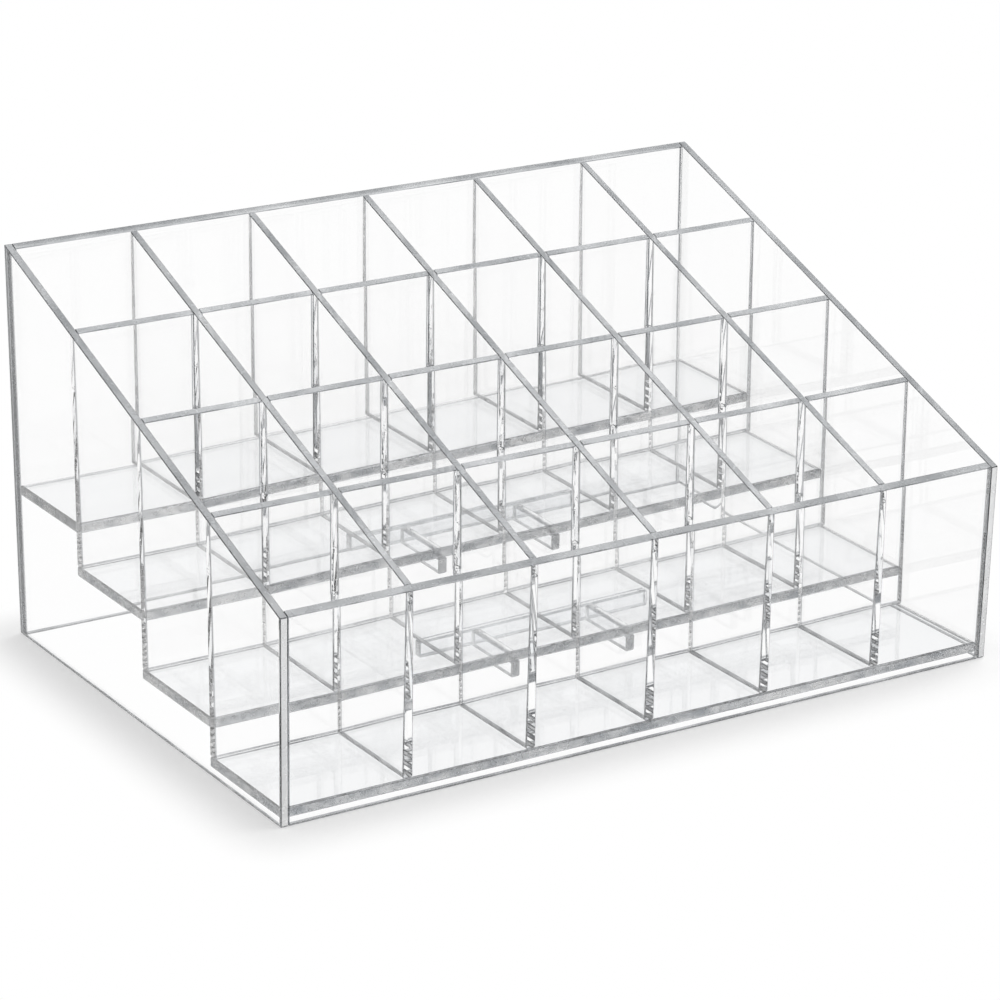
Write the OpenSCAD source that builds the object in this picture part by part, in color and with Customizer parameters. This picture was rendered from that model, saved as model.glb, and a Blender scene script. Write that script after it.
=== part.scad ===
// Stepped vanity organizer in clear acrylic: an open box with a sloping rim, split into
// cells by fore-and-aft dividers that cross the tier walls in half laps, over four floors
// that climb towards the back.
// Origin: middle of the footprint, on the table. +X to the right, +Y to the back, +Z up.

/* [Outer box] */
// Outer width at the rim
body_w = 228; // [180:1:300]
// Outer depth, front face to back face
body_d = 158; // [132:1:220]
// Height of the back edge of the rim
back_h = 116; // [96:1:150]
// Height of the front edge of the rim
front_h = 58; // [48:1:76]
// Thickness of the two side panels
side_panel_t = 2.3; // [1.8:0.1:3.2]
// Thickness of the front panel
front_panel_t = 2.5; // [1.8:0.1:3.2]
// Thickness of the back panel
back_panel_t = 2.5; // [1.8:0.1:3.2]
// How far the foot of each side panel stands in from its top
side_lean = 0.5; // [0:0.1:1.5]
// How far the foot of the front panel stands back from its top
front_lean = 1.5; // [0:0.1:3]

/* [Dividers and tier walls] */
// Thickness of a divider along its top edge
divider_top_t = 2.1; // [1.6:0.1:2.8]
// Thickness of a tier wall along its top edge
wall_top_t = 2.1; // [1.6:0.1:2.8]
// Taper of each face of the dividers and tier walls, in degrees
draft_angle = 0.5; // [0:0.05:0.8]
// Clearance on each side of a half lap
slot_fit = 0.1; // [0.05:0.01:0.2]
// Share of a tier wall, from the floor behind it up, that stays whole at a half lap
lap_share = 0.5; // [0.4:0.02:0.6]

/* [Tier floors] */
// Thickness of the floors
floor_t = 3; // [2.2:0.1:3.6]
// Height of the front floor's upper face
floor_1_z = 4.8; // [4:0.1:8]
// Rise from the first floor to the second
rise_1 = 11.2; // [9:0.2:14]
// Rise from the second floor to the third
rise_2 = 17; // [13:0.5:20]
// Rise from the third floor to the back floor
rise_3 = 12.8; // [10:0.2:16]

/* [Floor ribs] */
// Thickness of the ribs under the two middle floors
rib_t = 2.6; // [1.8:0.1:3.6]
// Depth of the ribs below the floor
rib_h = 4.8; // [3:0.1:5.6]
// Length of a fore-and-aft rib, from its tier wall back to the cross rib
rib_len = 21; // [12:0.5:28]

/* [Hidden] */

columns = 6;
rows = 4;
left = -1;
right = 1;

// One overrun serves all cuts
over = back_h;

column_pitch = (body_w - side_panel_t) / columns;
row_pitch = (body_d - (front_panel_t + back_panel_t) / 2) / rows;
rise = (back_h - front_h) / body_d;
slope_angle = atan(rise);
draft = tan(draft_angle);
floor_z = [
    floor_1_z,
    floor_1_z + rise_1,
    floor_1_z + rise_1 + rise_2,
    floor_1_z + rise_1 + rise_2 + rise_3
];

panel_color = [0.86, 0.90, 0.94, 0.45];
divider_color = [0.80, 0.86, 0.92, 0.55];
wall_color = [0.74, 0.82, 0.90, 0.55];
floor_color = [0.68, 0.78, 0.88, 0.60];

// Height of the sloping rim above a place y
function top_z(y) = front_h + (y + body_d / 2) * rise;

// Outer and inner faces of the leaning panels at a height z
function front_y(z) = -body_d / 2 + front_lean * (1 - z / front_h);
function front_inner_y(z) = front_y(z) + front_panel_t;
function back_inner_y() = body_d / 2 - back_panel_t;
function side_x(z) = body_w / 2 - side_lean * (1 - z / back_h);
function side_inner_x(z) = side_x(z) - side_panel_t;

// Centre lines of divider i and tier wall j, both counted from 1
function divider_x(i) = (i - columns / 2) * column_pitch;
function wall_y(j) = -body_d / 2 + front_panel_t / 2 + j * row_pitch;

// Half the thickness of tier wall j at a height z
function wall_half(j, z) = wall_top_t / 2 + draft * (top_z(wall_y(j)) - z);

// Upper face of floor j, and the height where divider and tier wall j lap
function floor_top(j) = floor_z[j - 1];
function lap_z(j) = floor_top(j + 1)
    + lap_share * (top_z(wall_y(j)) - floor_top(j + 1));

// Sweep a profile drawn as depth and height along the width
module along_width() {
    rotate([90, 0, 90])
        linear_extrude(height = body_w + 2 * over, center = true)
            children();
}

// Sweep a profile drawn as width and height along the depth
module along_depth() {
    rotate([90, 0, 0])
        linear_extrude(height = body_d + 2 * over, center = true)
            children();
}

// Outline of the whole box seen from the side
module side_outline() {
    polygon([
        [front_y(0), 0],
        [front_y(front_h), front_h],
        [body_d / 2, back_h],
        [body_d / 2, 0]
    ]);
}

// Section of the space between the two side panels
module width_between_sides() {
    along_depth()
        polygon([
            [-side_inner_x(-over), -over],
            [side_inner_x(-over), -over],
            [side_inner_x(back_h + over), back_h + over],
            [-side_inner_x(back_h + over), back_h + over]
        ]);
}

// Side view of the space between the front and back panels, open at top and bottom
module depth_between_panels() {
    polygon([
        [front_inner_y(-over), -over],
        [back_inner_y(), -over],
        [back_inner_y(), back_h + over],
        [front_inner_y(back_h + over), back_h + over]
    ]);
}

// One side panel, a flat sheet that leans in at the foot
module side_panel(side) {
    intersection() {
        along_width() side_outline();
        along_depth()
            polygon([
                [side * side_x(-over), -over],
                [side * side_inner_x(-over), -over],
                [side * side_inner_x(back_h + over), back_h + over],
                [side * side_x(back_h + over), back_h + over]
            ]);
    }
}

module left_side_panel() {
    color(panel_color) side_panel(left);
}

module right_side_panel() {
    color(panel_color) side_panel(right);
}

// The front panel leans back at the foot and fits between the side panels
module front_panel() {
    color(panel_color)
        intersection() {
            along_width()
                intersection() {
                    side_outline();
                    polygon([
                        [front_inner_y(-over), -over],
                        [front_inner_y(back_h + over), back_h + over],
                        [-body_d / 2 - over, back_h + over],
                        [-body_d / 2 - over, -over]
                    ]);
                }
            width_between_sides();
        }
}

// The back panel stands upright between the side panels, down to the table
module back_panel() {
    color(panel_color)
        intersection() {
            along_width()
                polygon([
                    [back_inner_y(), 0],
                    [body_d / 2, 0],
                    [body_d / 2, back_h],
                    [back_inner_y(), top_z(back_inner_y())]
                ]);
            width_between_sides();
        }
}

// Side view of tier wall j down to a height z, grown by a clearance
module wall_section(j, z, grow = 0) {
    polygon([
        [wall_y(j) - wall_half(j, z) - grow, z],
        [wall_y(j) + wall_half(j, z) + grow, z],
        [wall_y(j) + wall_half(j, back_h) + grow, back_h],
        [wall_y(j) - wall_half(j, back_h) - grow, back_h]
    ]);
}

// Tapered blank of divider i, parallel to the sloping rim and thicker below it
module divider_blank(i, grow = 0) {
    half = divider_top_t / 2 + grow;
    taper = draft / cos(slope_angle);
    reach = body_d + back_h;
    translate([divider_x(i), -body_d / 2, front_h])
        rotate([slope_angle, 0, 0])
            rotate([90, 0, 0])
                linear_extrude(height = 2 * reach, center = true)
                    polygon([
                        [-half + taper * floor_t, floor_t],
                        [half - taper * floor_t, floor_t],
                        [half + taper * back_h, -back_h],
                        [-half - taper * back_h, -back_h]
                    ]);
}

// Side view of a divider before its slots: it steps down with the floors
module divider_outline() {
    intersection() {
        side_outline();
        depth_between_panels();
        polygon([
            [-body_d / 2, floor_top(1)],
            for (j = [1 : rows - 1]) each [
                [wall_y(j), floor_top(j)],
                [wall_y(j), floor_top(j + 1)]
            ],
            [body_d / 2, floor_top(rows)],
            [body_d / 2, back_h],
            [-body_d / 2, back_h]
        ]);
    }
}

// The part of tier wall j below its half laps, as the slot in a divider
module slot_section(j) {
    intersection() {
        wall_section(j, -over, slot_fit);
        translate([-body_d, -over])
            square([2 * body_d, lap_z(j) + slot_fit + over]);
    }
}

module divider(i) {
    color(divider_color)
        intersection() {
            divider_blank(i);
            along_width()
                difference() {
                    divider_outline();
                    for (j = [1 : rows - 1]) slot_section(j);
                }
        }
}

// Tier wall j stands on floor j, closes the step up to floor j + 1 and divides two rows
module tier_wall(j) {
    color(wall_color)
        difference() {
            intersection() {
                along_width()
                    intersection() {
                        wall_section(j, floor_top(j));
                        side_outline();
                    }
                width_between_sides();
            }
            for (i = [1 : columns - 1])
                intersection() {
                    divider_blank(i, slot_fit);
                    translate([-body_w, -body_d, lap_z(j)])
                        cube([2 * body_w, 2 * body_d, back_h]);
                }
        }
}

// Front and back edges of floor j at a height z
function floor_front_y(j, z) = j == 1
    ? front_inner_y(z)
    : wall_y(j - 1) + wall_half(j - 1, z);
function floor_back_y(j) = j == rows
    ? back_inner_y()
    : wall_y(j) + wall_half(j, floor_top(j));

// Floor j butts against the wall in front of it and runs back under the wall behind it
module tier_floor(j) {
    upper = floor_top(j);
    lower = upper - floor_t;
    color(floor_color)
        intersection() {
            along_width()
                polygon([
                    [floor_front_y(j, lower), lower],
                    [floor_back_y(j), lower],
                    [floor_back_y(j), upper],
                    [floor_front_y(j, upper), upper]
                ]);
            width_between_sides();
        }
}

// Underside of floor j, where its ribs hang, and the foot of those ribs
function floor_underside(j) = floor_top(j) - floor_t;
function rib_foot(j) = floor_underside(j) - rib_h;

// Front face of the cross rib under floor j, where the fore-and-aft ribs end
function cross_rib_y(j) = floor_front_y(j, floor_underside(j)) + rib_len;

// Fore-and-aft rib under floor j, in the middle of the column beside the centre divider
module floor_rib(j, side) {
    color(floor_color)
        translate([side * column_pitch / 2, 0, 0])
            rotate([90, 0, 90])
                linear_extrude(height = rib_t, center = true)
                    polygon([
                        [floor_front_y(j, rib_foot(j)), rib_foot(j)],
                        [cross_rib_y(j), rib_foot(j)],
                        [cross_rib_y(j), floor_underside(j)],
                        [floor_front_y(j, floor_underside(j)), floor_underside(j)]
                    ]);
}

// Cross rib under floor j: it ties the rear ends of the two ribs over both middle columns
module floor_cross_rib(j) {
    color(floor_color)
        translate([-column_pitch, cross_rib_y(j), rib_foot(j)])
            cube([2 * column_pitch, rib_t, rib_h]);
}

left_side_panel();
right_side_panel();
front_panel();
back_panel();
divider(1);  // divider_1
divider(2);  // divider_2
divider(3);  // divider_3
divider(4);  // divider_4
divider(5);  // divider_5
tier_wall(1);  // tier_wall_1
tier_wall(2);  // tier_wall_2
tier_wall(3);  // tier_wall_3
tier_floor(1);  // tier_floor_1
tier_floor(2);  // tier_floor_2
tier_floor(3);  // tier_floor_3
tier_floor(4);  // tier_floor_4
floor_rib(2, left);  // floor_rib_1
floor_rib(2, right);  // floor_rib_2
floor_rib(3, left);  // floor_rib_3
floor_rib(3, right);  // floor_rib_4
floor_cross_rib(2);  // floor_cross_rib_1
floor_cross_rib(3);  // floor_cross_rib_2
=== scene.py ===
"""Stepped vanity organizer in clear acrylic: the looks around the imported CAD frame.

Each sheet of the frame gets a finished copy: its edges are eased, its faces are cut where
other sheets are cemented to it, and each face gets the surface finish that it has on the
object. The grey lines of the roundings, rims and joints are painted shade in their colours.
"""
import math

import bmesh
import bpy
from mathutils import Matrix, Vector
from mathutils.bvhtree import BVHTree


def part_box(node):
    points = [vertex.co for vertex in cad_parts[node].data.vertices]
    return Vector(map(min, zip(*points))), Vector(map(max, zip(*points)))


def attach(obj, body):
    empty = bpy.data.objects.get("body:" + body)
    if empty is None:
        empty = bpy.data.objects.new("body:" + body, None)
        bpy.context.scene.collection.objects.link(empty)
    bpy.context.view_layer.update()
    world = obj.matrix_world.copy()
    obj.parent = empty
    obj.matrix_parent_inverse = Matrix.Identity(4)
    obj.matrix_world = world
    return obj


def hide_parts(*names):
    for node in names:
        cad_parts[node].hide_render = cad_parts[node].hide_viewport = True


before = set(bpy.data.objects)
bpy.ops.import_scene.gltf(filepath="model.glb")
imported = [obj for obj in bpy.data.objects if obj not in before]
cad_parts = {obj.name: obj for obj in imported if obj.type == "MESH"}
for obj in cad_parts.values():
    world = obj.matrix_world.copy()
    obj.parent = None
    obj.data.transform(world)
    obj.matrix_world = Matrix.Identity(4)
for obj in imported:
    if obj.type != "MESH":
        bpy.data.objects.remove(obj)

MM = 0.001

# The record's slot that the finish of each CAD node belongs to
SLOTS = {"left_side_panel": "panel_acrylic", "right_side_panel": "panel_acrylic",
         "front_panel": "panel_acrylic", "back_panel": "panel_acrylic"}
SLOTS.update({f"divider_{i}": "divider_acrylic" for i in range(1, 6)})
SLOTS.update({f"tier_wall_{i}": "tier_wall_acrylic" for i in range(1, 4)})
SLOTS.update({f"tier_floor_{i}": "floor_acrylic" for i in range(1, 5)})
SLOTS.update({f"floor_rib_{i}": "floor_acrylic" for i in range(1, 5)})
SLOTS.update({f"floor_cross_rib_{i}": "floor_acrylic" for i in range(1, 3)})

# Corners closer than this are one corner, and faces that turn by less than this one flat face
WELD_REACH = 0.001 * MM
FLAT_ANGLE = math.radians(0.05)
# Half the width and depth of the organizer, and the height of its rim
HALF_WIDTH = 114 * MM
HALF_DEPTH = 79 * MM
RIM_FRONT = 58 * MM
RIM_BACK = 116 * MM
# The cells, and the spacing of the upright joints
COLUMNS, ROWS = 6, 4
COLUMN_PITCH = 37.617 * MM
ROW_PITCH = 38.875 * MM
# Within this distance of a crossing's middle line an edge belongs to the crossing
CROSSING_REACH = 3 * MM
# Joints further back than this lie against the back panel
BACK_JOINTS = 75 * MM
# Gap that the cement bridges, the slack in a half lap included
CEMENT_REACH = 0.15 * MM
# How far each face is drawn in, so that no two faces share a plane
HAIRLINE = 0.004 * MM
# Rounding of the edges: most of them, the upright ones, the rim, the dividers' feet
EDGE_RADIUS = 0.5 * MM
UPRIGHT_RADIUS = 0.3 * MM
RIM_RADIUS = 0.2 * MM
FOOT_RADIUS = 0.9 * MM
EDGE_STEPS = 3
# Edges that turn by less than this stay as they are
SHARP_ANGLE = math.radians(30)
# A divider's foot is longer than this
FOOT_LENGTH = 10 * MM
# A face narrower than this is the edge of a sheet
EDGE_WIDTH = 4.5 * MM
# A face whose normal rises by less than this counts as upright
UPRIGHT_RISE = 0.2
# How the sheets swell at the foot of a joint; the feet climb with the floors
SWELL_REACH = 2.5 * MM
SWELL_HEIGHT = 0.12 * MM
SWELL_FOOT, SWELL_TOP = 24 * MM, 44 * MM
CLIMB = 0.36
# Faces this close lie in one plane, and a corner this close to the rim's plane is on it
SAME_PLANE = 0.01 * MM
ON_RIM = 0.05 * MM
# A cut leaves more than this share of the rounding's radius on both sides
CUT_SHARE = 1.1
# How far around a cut's ends its face is looked for
CUT_REACH = 0.02 * MM
# Refractive index of acrylic, and how rough it is: the haze at most, the eased edges, the
# satin at least and at most
ACRYLIC_IOR = 1.49
HAZE_ROUGHNESS = 0.015
EASED_ROUGHNESS = 0.06
SATIN_ROUGHNESS = (0.15, 0.35)
# Height of the ripple, and sizes of the wipe marks and of the satin grain
RIPPLE_HEIGHT = 0.1 * MM
WIPE_SIZE = 14 * MM
GRAIN_SIZE = 2.5 * MM

# The studio: width of the white sweep, its gap under the object's foot, its glow at the foot,
# and how far the shadow reaches
SWEEP_WIDTH = 12
SWEEP_GAP = 0.05 * MM
SHADOW_LIGHT = 0.47
SHADOW_REACH = 22 * MM
# The world's brightness against height: backdrop, dim band, soft ceiling
WORLD_STOPS = [(0.0, 1.0), (0.05, 1.0), (0.15, 0.88), (0.25, 0.84), (0.36, 0.84), (0.42, 0.82),
               (0.5, 0.3), (0.62, 0.12), (0.75, 0.8), (1.0, 1.0)]
# The lamp: place, size of its square, power
KEY_AT = (1.2, 0.0, 1.1)
KEY_SIZE = 1.8
KEY_POWER = 21
# The camera, as fitted to the photograph: place in metres, angles in degrees
CAMERA_LENS = 138.6
CAMERA_AT = (-0.53722, -0.8682, 0.41087)
CAMERA_TURN, CAMERA_DIP, CAMERA_ROLL = 31.721, 19.748, 0.380
# Light bends at every sheet, so rays need many turns to get through
CLEAR_BOUNCES = 64
GLOSSY_BOUNCES = 32

# Material slots of every sheet
FACE, CEMENTED, SATIN, EASED, UPRIGHT, FOOT, END, FLOOR_JOINT, BACK_JOINT = range(9)


# Materials

def linear(hex_colour):
    """An sRGB colour written as RRGGBB, as a linear colour with alpha."""
    parts = [int(hex_colour[i:i + 2], 16) / 255 for i in (0, 2, 4)]
    return [c / 12.92 if c <= 0.04045 else ((c + 0.055) / 1.055) ** 2.4 for c in parts] + [1]


def add_node(tree, kind, settings=None, inputs=None, links=None):
    """A new node with its settings, its sockets' values, and links from other nodes."""
    node = tree.nodes.new(kind)
    for name, value in (settings or {}).items():
        setattr(node, name, value)
    for name, value in (inputs or {}).items():
        node.inputs[name].default_value = value
    for name, socket in (links or {}).items():
        tree.links.new(socket, node.inputs[name])
    return node


def new_material(name):
    """An empty node material and its tree."""
    material = bpy.data.materials.new(name)
    material.use_nodes = True
    material.node_tree.nodes.clear()
    return material, material.node_tree


def joint_swell(tree, place, axis, pitch):
    """Height of an upright sheet's surface: it thickens towards the foot of each joint."""
    axes = add_node(tree, "ShaderNodeSeparateXYZ", links={"Vector": place.outputs["Object"]})
    away = add_node(tree, "ShaderNodeMath", {"operation": "PINGPONG"},
                    inputs={1: pitch / 2}, links={0: axes.outputs[axis]})
    near = add_node(tree, "ShaderNodeMapRange",
                    inputs={"From Min": 0, "From Max": SWELL_REACH, "To Min": 1, "To Max": 0},
                    links={"Value": away.outputs[0]})
    fillet = add_node(tree, "ShaderNodeMath", {"operation": "POWER"},
                      inputs={1: 3}, links={0: near.outputs["Result"]})
    above = add_node(tree, "ShaderNodeMath", {"operation": "MULTIPLY_ADD"}, inputs={1: -CLIMB},
                     links={0: axes.outputs["Y"], 2: axes.outputs["Z"]})
    foot = add_node(tree, "ShaderNodeMapRange", {"interpolation_type": "SMOOTHSTEP"},
                    inputs={"From Min": SWELL_FOOT, "From Max": SWELL_TOP,
                            "To Min": 1, "To Max": 0},
                    links={"Value": above.outputs[0]})
    return add_node(tree, "ShaderNodeMath", {"operation": "MULTIPLY"},
                    links={0: fillet.outputs[0], 1: foot.outputs["Result"]})


def clear_acrylic(name, tint, ripple_mm, ripple_strength, joints=None):
    """Polished clear acrylic: a long faint ripple makes straight lines behind it waver.

    A wipe haze dulls parts of it, and upright sheets swell at the foot of their joints.
    """
    material, tree = new_material(name)
    place = add_node(tree, "ShaderNodeTexCoord")
    ripple = add_node(tree, "ShaderNodeTexNoise",
                      inputs={"Scale": 1 / (ripple_mm * MM), "Detail": 1.0},
                      links={"Vector": place.outputs["Object"]})
    surface = add_node(tree, "ShaderNodeBump",
                       inputs={"Strength": ripple_strength, "Distance": RIPPLE_HEIGHT},
                       links={"Height": ripple.outputs["Fac"]})
    if joints:
        surface = add_node(tree, "ShaderNodeBump", inputs={"Distance": SWELL_HEIGHT},
                           links={"Height": joint_swell(tree, place, *joints).outputs[0],
                                  "Normal": surface.outputs["Normal"]})
    wipe = add_node(tree, "ShaderNodeTexNoise",
                    inputs={"Scale": 1 / WIPE_SIZE, "Detail": 3.0},
                    links={"Vector": place.outputs["Object"]})
    haze = add_node(tree, "ShaderNodeMapRange",
                    inputs={"From Min": 0.5, "From Max": 0.8,
                            "To Min": 0.0, "To Max": HAZE_ROUGHNESS},
                    links={"Value": wipe.outputs["Fac"]})
    glass = add_node(tree, "ShaderNodeBsdfPrincipled",
                     inputs={"Base Color": linear(tint), "IOR": ACRYLIC_IOR,
                             "Transmission Weight": 1.0},
                     links={"Roughness": haze.outputs["Result"],
                            "Normal": surface.outputs["Normal"]})
    add_node(tree, "ShaderNodeOutputMaterial", links={"Surface": glass.outputs["BSDF"]})
    return material


def cement_line():
    """Solvent cement joint: the two sheets are one there, so light passes unbent."""
    material, tree = new_material("solvent_cement_joint")
    glass = add_node(tree, "ShaderNodeBsdfPrincipled",
                     inputs={"Base Color": linear("FFFFFF"), "IOR": 1.0, "Roughness": 0.0,
                             "Specular IOR Level": 0.0, "Transmission Weight": 1.0})
    add_node(tree, "ShaderNodeOutputMaterial", links={"Surface": glass.outputs["BSDF"]})
    return material


def mottled(tree, place, spot_mm, dark, light):
    """Greys that wander along an edge; on all but the panel ends they are painted shade."""
    spots = add_node(tree, "ShaderNodeTexNoise",
                     inputs={"Scale": 1 / (spot_mm * MM), "Detail": 2.0},
                     links={"Vector": place.outputs["Object"]})
    shade = add_node(tree, "ShaderNodeMapRange",
                     inputs={"From Min": 0.35, "From Max": 0.65},
                     links={"Value": spots.outputs["Fac"]})
    greys = add_node(tree, "ShaderNodeValToRGB", links={"Fac": shade.outputs["Result"]})
    greys.color_ramp.elements[0].color = linear(dark)
    greys.color_ramp.elements[1].color = linear(light)
    return greys


def satin_and_painted_shade_edge(name, spot_mm, dark, light, clearness=0.35):
    """Satin edge: light passes it scattered, with a fine grain; its grey bands are painted shade.
    """
    material, tree = new_material(name)
    place = add_node(tree, "ShaderNodeTexCoord")
    grain = add_node(tree, "ShaderNodeTexNoise",
                     inputs={"Scale": 1 / GRAIN_SIZE, "Detail": 4.0},
                     links={"Vector": place.outputs["Object"]})
    satin = add_node(tree, "ShaderNodeMapRange",
                     inputs={"From Min": 0.3, "From Max": 0.7,
                             "To Min": SATIN_ROUGHNESS[0], "To Max": SATIN_ROUGHNESS[1]},
                     links={"Value": grain.outputs["Fac"]})
    glass = add_node(tree, "ShaderNodeBsdfPrincipled",
                     inputs={"IOR": ACRYLIC_IOR, "Transmission Weight": clearness},
                     links={"Base Color":
                            mottled(tree, place, spot_mm, dark, light).outputs["Color"],
                            "Roughness": satin.outputs["Result"]})
    add_node(tree, "ShaderNodeOutputMaterial", links={"Surface": glass.outputs["BSDF"]})
    return material


def eased_edge_painted_shade(name, spot_mm, dark, light, clearness=1.0):
    """Rounded edge: clear and tightly curved, with its grey line painted in as shade."""
    material, tree = new_material(name)
    place = add_node(tree, "ShaderNodeTexCoord")
    glass = add_node(tree, "ShaderNodeBsdfPrincipled",
                     inputs={"IOR": ACRYLIC_IOR, "Roughness": EASED_ROUGHNESS,
                             "Transmission Weight": clearness},
                     links={"Base Color":
                            mottled(tree, place, spot_mm, dark, light).outputs["Color"]})
    add_node(tree, "ShaderNodeOutputMaterial", links={"Surface": glass.outputs["BSDF"]})
    return material


# Modelling

def start_editing(piece):
    """Open a piece in edit mode with none of its faces selected."""
    bpy.ops.object.select_all(action="DESELECT")
    piece.select_set(True)
    bpy.context.view_layer.objects.active = piece
    bpy.ops.object.mode_set(mode="EDIT")
    bpy.ops.mesh.select_mode(type="FACE")
    bpy.ops.mesh.select_all(action="DESELECT")


def stop_editing():
    bpy.ops.object.mode_set(mode="OBJECT")


def sheet_from(node, name, materials):
    """A copy of a CAD sheet with its triangles joined into whole flat faces."""
    piece = bpy.data.objects.new(name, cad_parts[node].data.copy())
    bpy.context.scene.collection.objects.link(piece)
    piece.data.materials.clear()
    for material in materials:
        piece.data.materials.append(material)
    start_editing(piece)
    bpy.ops.mesh.select_all(action="SELECT")
    bpy.ops.mesh.remove_doubles(threshold=WELD_REACH)
    bpy.ops.mesh.dissolve_limited(angle_limit=FLAT_ANGLE)
    bpy.ops.transform.shrink_fatten(value=-HAIRLINE, use_even_offset=True)
    stop_editing()
    return piece


def rim_height(y):
    """Height of the sloping rim at a depth."""
    return RIM_FRONT + (y + HALF_DEPTH) * (RIM_BACK - RIM_FRONT) / (2 * HALF_DEPTH)


def at_hidden_corner(face):
    """Whether a rounding lies on the two sides of a crossing where no line is seen."""
    x, y = face.center.x, face.center.y
    beside = x - round(x / COLUMN_PITCH) * COLUMN_PITCH
    behind = y - round(y / ROW_PITCH) * ROW_PITCH
    inside = abs(x) < (COLUMNS - 1) / 2 * COLUMN_PITCH and abs(y) < (ROWS - 1) / 2 * ROW_PITCH
    return inside and abs(face.normal.z) < UPRIGHT_RISE and \
        max(abs(beside), abs(behind)) < CROSSING_REACH and beside * behind > 0


def radius_of(a, b, slot):
    """How far the edge between two corners of a sheet is rounded."""
    along = b - a
    if all(abs(end.z - rim_height(end.y)) < ON_RIM for end in (a, b)):
        return RIM_RADIUS
    if abs(along.z) > 0.9 * along.length:
        return UPRIGHT_RADIUS
    if slot == "divider_acrylic" and along.length > FOOT_LENGTH and \
            abs(along.y) > 0.99 * along.length:
        return FOOT_RADIUS
    return EDGE_RADIUS


def flat_faces(piece, slot):
    """Each flat face of a sheet as its normal and its sides: both ends and the rounding."""
    mesh = piece.data
    faces = []
    for face in mesh.polygons:
        corners = [mesh.vertices[i].co.copy() for i in face.vertices]
        faces.append((face.normal.copy(), [(a, b, radius_of(a, b, slot))
                                           for a, b in zip(corners, corners[1:] + corners[:1])]))
    return faces


def mark_satin(piece, slot):
    """Give a satin finish to a sheet's narrow top faces and to a panel's upright ends."""
    for face in piece.data.polygons:
        points = [piece.data.vertices[i].co for i in face.vertices]
        around = sum((a - b).length for a, b in zip(points, points[1:] + points[:1]))
        if 2 * face.area / around > EDGE_WIDTH:
            continue
        if face.normal.z > 0.5:
            face.material_index = SATIN
        elif slot == "panel_acrylic" and abs(face.normal.y) > 0.9:
            face.material_index = SATIN if face.normal.y > 0 else END


def ease_edges(piece, slot):
    """Round every edge of a sheet by its own radius; the roundings get a finish and painted shade.
    """
    start_editing(piece)
    sheet = bmesh.from_edit_mesh(piece.data)
    weight = sheet.edges.layers.float.new("bevel_weight_edge")
    for edge in sheet.edges:
        if edge.calc_face_angle(0) > SHARP_ANGLE:
            a, b = (v.co for v in edge.verts)
            edge[weight] = radius_of(a, b, slot) / FOOT_RADIUS
    bmesh.update_edit_mesh(piece.data)
    stop_editing()
    rounding = piece.modifiers.new("rounding", "BEVEL")
    rounding.limit_method = "WEIGHT"
    rounding.width = FOOT_RADIUS
    rounding.segments = EDGE_STEPS
    rounding.material = EASED
    bpy.ops.object.modifier_apply(modifier=rounding.name)
    for face in piece.data.polygons:
        if face.material_index != EASED:
            continue
        if at_hidden_corner(face):
            face.material_index = CEMENTED
        elif abs(face.normal.z) < UPRIGHT_RISE:
            face.material_index = UPRIGHT
        elif slot == "divider_acrylic" and face.normal.z < -UPRIGHT_RISE and \
                abs(face.normal.x) > UPRIGHT_RISE:
            face.material_index = FOOT


def box_of(points, margin=0.0):
    """The low and high corners of the box around some points."""
    spread = Vector((margin, margin, margin))
    return Vector(map(min, zip(*points))) - spread, Vector(map(max, zip(*points))) + spread


def boxes_meet(one, other):
    return all(one[0][k] < other[1][k] and other[0][k] < one[1][k] for k in range(3))


def contact_cuts(own_faces, other_faces):
    """Where to cut a sheet: (point and normal of its face, ends of the cut, place and side)."""
    cuts = []
    for normal, sides in own_faces:
        corners = [a for a, _, _ in sides]
        own_box = box_of(corners, CEMENT_REACH)
        for other_normal, other_sides in other_faces:
            if normal.dot(other_normal) > -0.999:
                continue
            if abs((other_sides[0][0] - corners[0]).dot(normal)) > CEMENT_REACH:
                continue
            if not boxes_meet(own_box, box_of([a for a, _, _ in other_sides])):
                continue
            for a, b, radius in other_sides:
                inward = other_normal.cross(b - a).normalized()
                at = a + inward * radius
                reach = [(c - at).dot(inward) for c in corners]
                crosses = min(reach) < -CUT_SHARE * radius and max(reach) > CUT_SHARE * radius
                if crosses and boxes_meet(own_box, box_of((a, b))):
                    cuts.append((corners[0], normal, (a, b), at, inward))
    return cuts


def score_contacts(piece, cuts):
    """Cut the outline of each neighbour into the faces that it touches."""
    start_editing(piece)
    for face_point, normal, ends, at, inward in cuts:
        near = box_of(ends, CUT_REACH)
        sheet = bmesh.from_edit_mesh(piece.data)
        for face in sheet.faces:
            flat = face.normal.dot(normal) > 0.9999 and \
                abs((face.verts[0].co - face_point).dot(normal)) < SAME_PLANE
            face.select_set(flat and boxes_meet(near, box_of([v.co for v in face.verts])))
        bmesh.update_edit_mesh(piece.data)
        bpy.ops.mesh.bisect(plane_co=at, plane_no=inward)
        bpy.ops.mesh.select_all(action="DESELECT")
    stop_editing()


def solid_of(piece):
    """A sheet's surface as a search tree."""
    mesh = piece.data
    return BVHTree.FromPolygons([v.co for v in mesh.vertices], [f.vertices for f in mesh.polygons])


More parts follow.
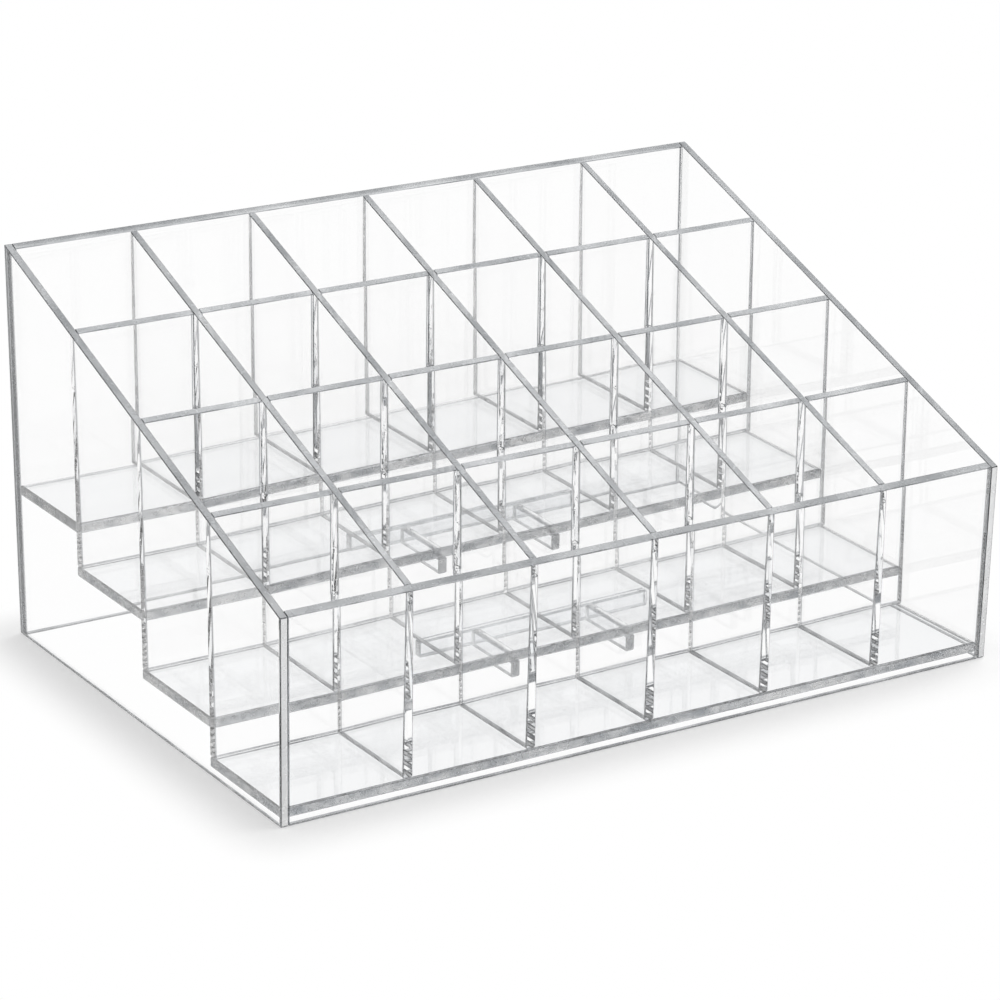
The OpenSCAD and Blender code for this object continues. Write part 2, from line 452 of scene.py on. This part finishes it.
def mark_cemented(piece, slot, solids):
    """Mark the faces that a neighbour lies against, as cement or as a satin joint of painted
    shade.
    """
    mesh = piece.data
    mesh.calc_loop_triangles()
    widest = {}
    for triangle in mesh.loop_triangles:
        if triangle.area > widest.get(triangle.polygon_index, (0, None))[0]:
            widest[triangle.polygon_index] = (triangle.area, triangle.center.copy())
    for index, (_, centre) in widest.items():
        face = mesh.polygons[index]
        beyond = centre + face.normal * CEMENT_REACH
        for node, solid in solids.items():
            surface, normal, _, _ = solid.find_nearest(beyond)
            if (beyond - surface).dot(normal) < 0 and face.normal.dot(normal) < -0.99:
                by_floor = "floor_acrylic" in (slot, SLOTS[node])
                by_back = centre.y > BACK_JOINTS
                face.material_index = CEMENTED
                if by_floor and abs(face.normal.z) < 0.3 and not by_back:
                    face.material_index = FLOOR_JOINT
                elif by_back and not by_floor:
                    face.material_index = BACK_JOINT


def neighbours_of(node):
    """The CAD nodes whose boxes meet this one's."""
    low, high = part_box(node)
    spread = Vector((CEMENT_REACH, CEMENT_REACH, CEMENT_REACH))
    own = (low - spread, high + spread)
    return [n for n in SLOTS if n != node and boxes_meet(own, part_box(n))]


# Stage, light and camera

def white_sweep():
    """Matt white paper: it takes the soft shadow near the object.

    Further out, and wherever it is seen in or through the acrylic, it glows plain white.
    """
    material, tree = new_material("white_sweep")
    place = add_node(tree, "ShaderNodeTexCoord")
    beside = add_node(tree, "ShaderNodeVectorMath", {"operation": "ABSOLUTE"},
                      links={0: place.outputs["Object"]})
    past_foot = add_node(tree, "ShaderNodeVectorMath", {"operation": "SUBTRACT"},
                         inputs={1: (HALF_WIDTH, HALF_DEPTH, 0)},
                         links={0: beside.outputs["Vector"]})
    clear_of = add_node(tree, "ShaderNodeVectorMath", {"operation": "MAXIMUM"},
                        inputs={1: (0, 0, 0)}, links={0: past_foot.outputs["Vector"]})
    away = add_node(tree, "ShaderNodeVectorMath", {"operation": "LENGTH"},
                    links={0: clear_of.outputs["Vector"]})
    fade = add_node(tree, "ShaderNodeMapRange", {"interpolation_type": "SMOOTHSTEP"},
                    inputs={"From Min": 0, "From Max": SHADOW_REACH,
                            "To Min": SHADOW_LIGHT, "To Max": 1},
                    links={"Value": away.outputs["Value"]})
    ray = add_node(tree, "ShaderNodeLightPath")
    mirrored = add_node(tree, "ShaderNodeMath", {"operation": "MAXIMUM"},
                        links={0: ray.outputs["Is Glossy Ray"],
                               1: ray.outputs["Is Transmission Ray"]})
    plain_white = add_node(tree, "ShaderNodeMath", {"operation": "MAXIMUM"},
                           links={0: fade.outputs["Result"], 1: mirrored.outputs[0]})
    paper = add_node(tree, "ShaderNodeBsdfDiffuse", inputs={"Color": (0.9, 0.9, 0.9, 1)})
    white = add_node(tree, "ShaderNodeEmission", inputs={"Color": (1, 1, 1, 1)})
    mix = add_node(tree, "ShaderNodeMixShader",
                   links={0: plain_white.outputs[0], 1: paper.outputs[0], 2: white.outputs[0]})
    add_node(tree, "ShaderNodeOutputMaterial", links={"Surface": mix.outputs[0]})
    return material


def studio_floor():
    """The paper under the object, just below its foot."""
    bpy.ops.object.select_all(action="DESELECT")
    bpy.ops.mesh.primitive_plane_add(size=SWEEP_WIDTH, location=(0, 0, -SWEEP_GAP))
    floor = bpy.context.object
    floor.name = "studio_floor"
    floor.data.materials.append(white_sweep())


def studio_world():
    """White backdrop low down, a dim band above it, and a broad soft ceiling."""
    world = bpy.data.worlds.new("studio")
    bpy.context.scene.world = world
    world.use_nodes = True
    tree = world.node_tree
    tree.nodes.clear()
    place = add_node(tree, "ShaderNodeTexCoord")
    height = add_node(tree, "ShaderNodeSeparateXYZ", links={"Vector": place.outputs["Generated"]})
    ramp = add_node(tree, "ShaderNodeValToRGB", links={"Fac": height.outputs["Z"]})
    elements = ramp.color_ramp.elements
    while len(elements) < len(WORLD_STOPS):
        elements.new(0.5)
    for element, (at, level) in zip(elements, WORLD_STOPS):
        element.position = at
        element.color = (level, level, level, 1)
    sky = add_node(tree, "ShaderNodeBackground", links={"Color": ramp.outputs["Color"]})
    add_node(tree, "ShaderNodeOutputWorld", links={"Surface": sky.outputs["Background"]})


def softbox(name, at, aim, size, power):
    """A broad lamp that lights the paper and stays out of every reflection."""
    bpy.ops.object.select_all(action="DESELECT")
    bpy.ops.object.light_add(type="AREA", location=at)
    lamp = bpy.context.object
    lamp.name = name
    lamp.rotation_mode = "QUATERNION"
    lamp.rotation_quaternion = (Vector(aim) - Vector(at)).to_track_quat("-Z", "Y")
    lamp.data.shape = "RECTANGLE"
    lamp.data.size, lamp.data.size_y = size
    lamp.data.energy = power
    lamp.visible_glossy = False
    lamp.visible_transmission = False


def camera():
    """The photograph's place and direction of view."""
    data = bpy.data.cameras.new("camera")
    data.sensor_width = 36
    data.lens = CAMERA_LENS
    data.clip_start, data.clip_end = 0.05, 30
    eye = bpy.data.objects.new("camera", data)
    bpy.context.scene.collection.objects.link(eye)
    eye.location = CAMERA_AT
    eye.rotation_mode = "QUATERNION"
    turn = (Matrix.Rotation(-math.radians(CAMERA_TURN), 3, "Z")
            @ Matrix.Rotation(math.radians(90 - CAMERA_DIP), 3, "X")
            @ Matrix.Rotation(math.radians(CAMERA_ROLL), 3, "Z"))
    eye.rotation_quaternion = turn.to_quaternion()
    bpy.context.scene.camera = eye


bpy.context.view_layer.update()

# Finishes of the flat faces: tint, length of the ripple in mm and its strength, and the
# joints that a sheet swells at. They all look colourless; the floors are a little greyer.
along_x, along_y = ("X", COLUMN_PITCH), ("Y", ROW_PITCH)
side = clear_acrylic("clear_acrylic_side_panel", "FEFEFE", 30, 0.05)
end = clear_acrylic("clear_acrylic_end_panel", "FEFEFE", 30, 0.05)
divider = clear_acrylic("clear_acrylic_divider", "FEFEFE", 30, 0.05, along_y)
tier_wall = clear_acrylic("clear_acrylic_tier_wall", "FEFEFE", 30, 0.05, along_x)
floor = clear_acrylic("clear_acrylic_floor", "FBFCFD", 40, 0.03)
# Finishes that all sheets share, in the order of their slots
shared = [
    # Bonded faces can't be seen at all
    cement_line(),
    # The rims: satin, with soft light grey bands of painted shade, the brightest outline of the
    # cells
    satin_and_painted_shade_edge("satin_moulded_rim_painted_shade", 18, "A8ABAE", "D6D8DA"),
    # Level edges: grey lines of painted shade, with darker stretches
    eased_edge_painted_shade("eased_acrylic_edge_painted_shade", 10, "54575B", "A0A3A7"),
    # Upright edges: fine, even grey lines of painted shade on both sides of each joint
    eased_edge_painted_shade("eased_upright_edge_painted_shade", 30, "606367", "84878B"),
    # The dividers' feet: mottled grey lines of painted shade across the floors
    eased_edge_painted_shade("eased_divider_foot_painted_shade", 8, "868A8E", "ECEEF0", 0.5),
    # The front ends of the side panels: nearly white bands
    satin_and_painted_shade_edge("satin_panel_end", 30, "F0F1F2", "FFFFFF"),
    # The front and side edges of the floors: mottled grey bands seen through the walls; the
    # grey is painted shade
    satin_and_painted_shade_edge("satin_floor_joint_painted_shade", 6, "BEC2C6", "FFFFFF", 0.85),
    # The joints at the back panel: even grey lines of painted shade behind the rear cells
    satin_and_painted_shade_edge("satin_back_joint_painted_shade", 30, "A4A7AB", "C6C9CC", 0.7),
]
finishes = {"left_side_panel": side, "right_side_panel": side, "front_panel": end,
            "back_panel": end, "divider_acrylic": divider, "tier_wall_acrylic": tier_wall,
            "floor_acrylic": floor}

sheets = {node: sheet_from(node, node + "_sheet",
                           [finishes.get(node) or finishes[slot]] + shared)
          for node, slot in SLOTS.items()}
outlines = {node: flat_faces(piece, SLOTS[node]) for node, piece in sheets.items()}
neighbours = {node: neighbours_of(node) for node in SLOTS}
for node, piece in sheets.items():
    if SLOTS[node] != "floor_acrylic":
        mark_satin(piece, SLOTS[node])
    ease_edges(piece, SLOTS[node])
solids = {node: solid_of(piece) for node, piece in sheets.items()}
for node, piece in sheets.items():
    others = [face for n in neighbours[node] for face in outlines[n]]
    score_contacts(piece, contact_cuts(outlines[node], others))
    mark_cemented(piece, SLOTS[node], {n: solids[n] for n in neighbours[node]})
    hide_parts(node)
    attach(piece, "root")

studio_floor()
studio_world()
softbox("key_softbox", KEY_AT, (0, 0, 0), (KEY_SIZE, KEY_SIZE), KEY_POWER)
camera()

scene = bpy.context.scene
scene.view_settings.view_transform = "Standard"
scene.cycles.max_bounces = CLEAR_BOUNCES
scene.cycles.transmission_bounces = CLEAR_BOUNCES
scene.cycles.glossy_bounces = GLOSSY_BOUNCES
scene.cycles.transparent_max_bounces = CLEAR_BOUNCES
